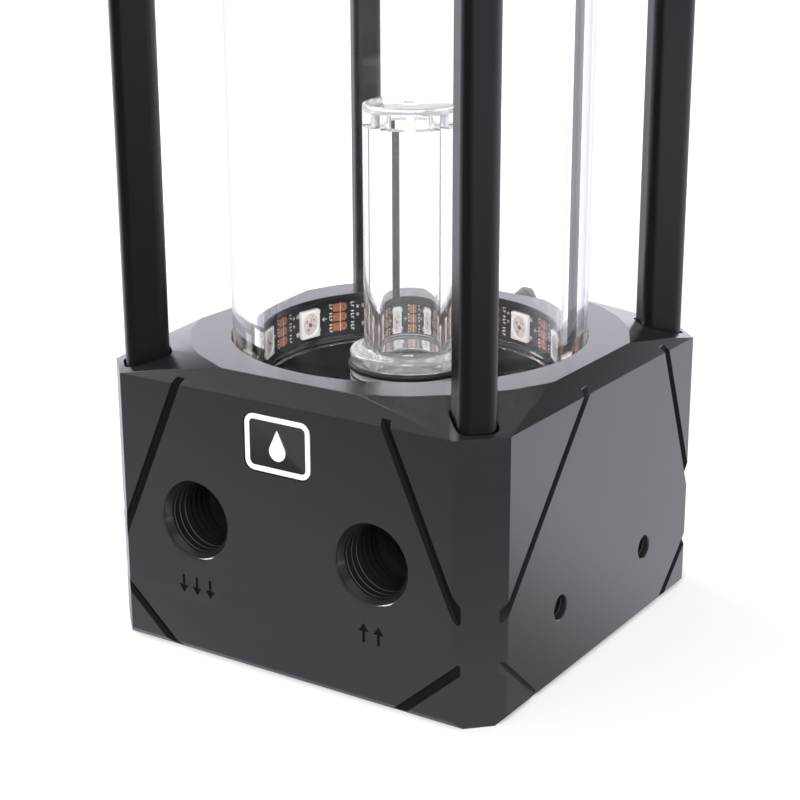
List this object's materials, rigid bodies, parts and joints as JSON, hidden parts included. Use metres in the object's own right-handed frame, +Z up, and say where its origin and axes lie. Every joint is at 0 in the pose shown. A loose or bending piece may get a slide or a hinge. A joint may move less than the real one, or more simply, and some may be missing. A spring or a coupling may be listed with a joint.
{
  "type": "coolant pump reservoir",
  "caption": "Liquid cooling pump block with cut corners, side ports and slanting grooves, carrying a clear tube reservoir with a standpipe, a lamp ring, rods and a screwed fill cap.",
  "frame": {"origin": "middle of the block's underside, on the tube's axis", "axes": "+Z up along the tube, -Y out of the face with the two ports, +X out of the face with the two small threaded holes"},
  "size_m": [0.0796, 0.1151, 0.2103],
  "materials": {
    "anodised_block": "black anodised, fine satin",
    "anodised_rod": "black anodised, satin",
    "gloss_black": "polished black",
    "clear_tube": "clear polished acrylic",
    "clear_pipe": "clear acrylic, turned",
    "strip_film": "black flexible circuit",
    "lamp_white": "white lamp body with a clear lens",
    "seal_rubber": "black rubber",
    "screw_steel": "blackened steel",
    "pump_plastic": "black moulded",
    "cover_metal": "dull turned metal",
    "shaft_steel": "ground",
    "impeller_plastic": "moulded",
    "lead_wire": "grey insulation, three wires twisted",
    "connector_plastic": "moulded white"
  },
  "bodies": {
    "housing": {"base_block": "anodised_block", "floor_plate": "gloss_black", "reservoir_tube": "clear_tube", "tube_seal_lower": "seal_rubber", "tube_seal_upper": "seal_rubber", "led_strip": "strip_film", "led_chips": "lamp_white", "standpipe": "clear_pipe", "standpipe_cap": "clear_pipe", "standpipe_seal_upper": "seal_rubber", "standpipe_seal_lower": "seal_rubber", "rod_front_left": "anodised_rod", "rod_front_right": "anodised_rod", "rod_back_left": "anodised_rod", "rod_back_right": "anodised_rod", "rod_screws_lower": "screw_steel", "rod_screws_upper": "screw_steel", "top_cap": "anodised_block", "pump_housing": "pump_plastic", "pump_seal": "seal_rubber", "pump_cover": "cover_metal", "pump_screws": "screw_steel", "pump_shaft": "shaft_steel", "pump_gland": "seal_rubber", "lead_grommet": "seal_rubber", "lamp_lead": "lead_wire", "lead_connector": "connector_plastic"},
    "impeller_body": {"impeller": "impeller_plastic"},
    "plug_seal_body": {"fill_plug_seal": "seal_rubber"},
    "plug_body": {"fill_plug": "anodised_rod"}
  },
  "joints": [
    {"name": "impeller_spin", "type": "hinge", "parent": "housing", "child": "impeller_body", "pos_m": [0, 0, 0.0232], "axis": [0, 0, 1], "continuous": true},
    {"name": "fill_plug_lift", "type": "slide", "parent": "housing", "child": "plug_seal_body", "axis": [0, 0, 1], "range_m": [0, 0.0107]},
    {"name": "fill_plug_turn", "type": "hinge", "parent": "plug_seal_body", "child": "plug_body", "pos_m": [0, 0, 0.206], "axis": [0, 0, 1], "range_deg": [0, 2880]}
  ],
  "couplings": [
    {"joint": "fill_plug_lift", "follows": "fill_plug_turn", "m_per_rad": 0.00021279}
  ]
}
